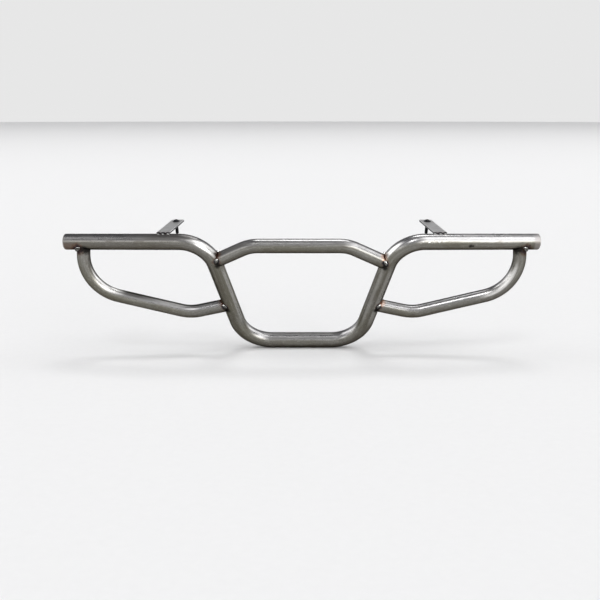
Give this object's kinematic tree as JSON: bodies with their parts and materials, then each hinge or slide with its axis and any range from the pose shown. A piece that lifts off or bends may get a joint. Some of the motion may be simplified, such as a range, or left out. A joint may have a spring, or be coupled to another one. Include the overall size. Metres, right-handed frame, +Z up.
{
  "type": "quad bike rear bumper",
  "caption": "Tubular steel rear bumper for a quad bike: swept wings, a leaning central U with a crossbar, side loops and two bolt-on strap brackets.",
  "frame": {"origin": "centre of the whole bumper's box, on its middle plane", "axes": "+X to the bumper's right-hand side as seen from behind the vehicle, +Y forwards to the vehicle, +Z up"},
  "size_m": [1.1318, 0.1846, 0.327],
  "materials": {
    "raw_steel": "bare mill-finish steel tube, lightly stained, with brown heat tint beside the welds",
    "strap_steel": "bare flat steel bar, light grey, satin",
    "weld_metal": "shiny tack weld metal with a dark heated rim",
    "black_fastener": "black oxide, semi-matt"
  },
  "bodies": {
    "root": {"main_tube": "raw_steel", "crossbar": "raw_steel", "left_side_loop": "raw_steel", "right_side_loop": "raw_steel", "left_end_cap": "raw_steel", "right_end_cap": "raw_steel", "left_strap_bracket": "strap_steel", "right_strap_bracket": "strap_steel", "left_strap_bolt": "black_fastener", "right_strap_bolt": "black_fastener", "left_crossbar_tacks": "weld_metal", "right_crossbar_tacks": "weld_metal", "left_loop_foot_tacks": "weld_metal", "right_loop_foot_tacks": "weld_metal", "left_loop_top_tacks": "weld_metal", "right_loop_top_tacks": "weld_metal", "left_strap_tacks": "weld_metal", "right_strap_tacks": "weld_metal"}
  },
  "joints": []
}
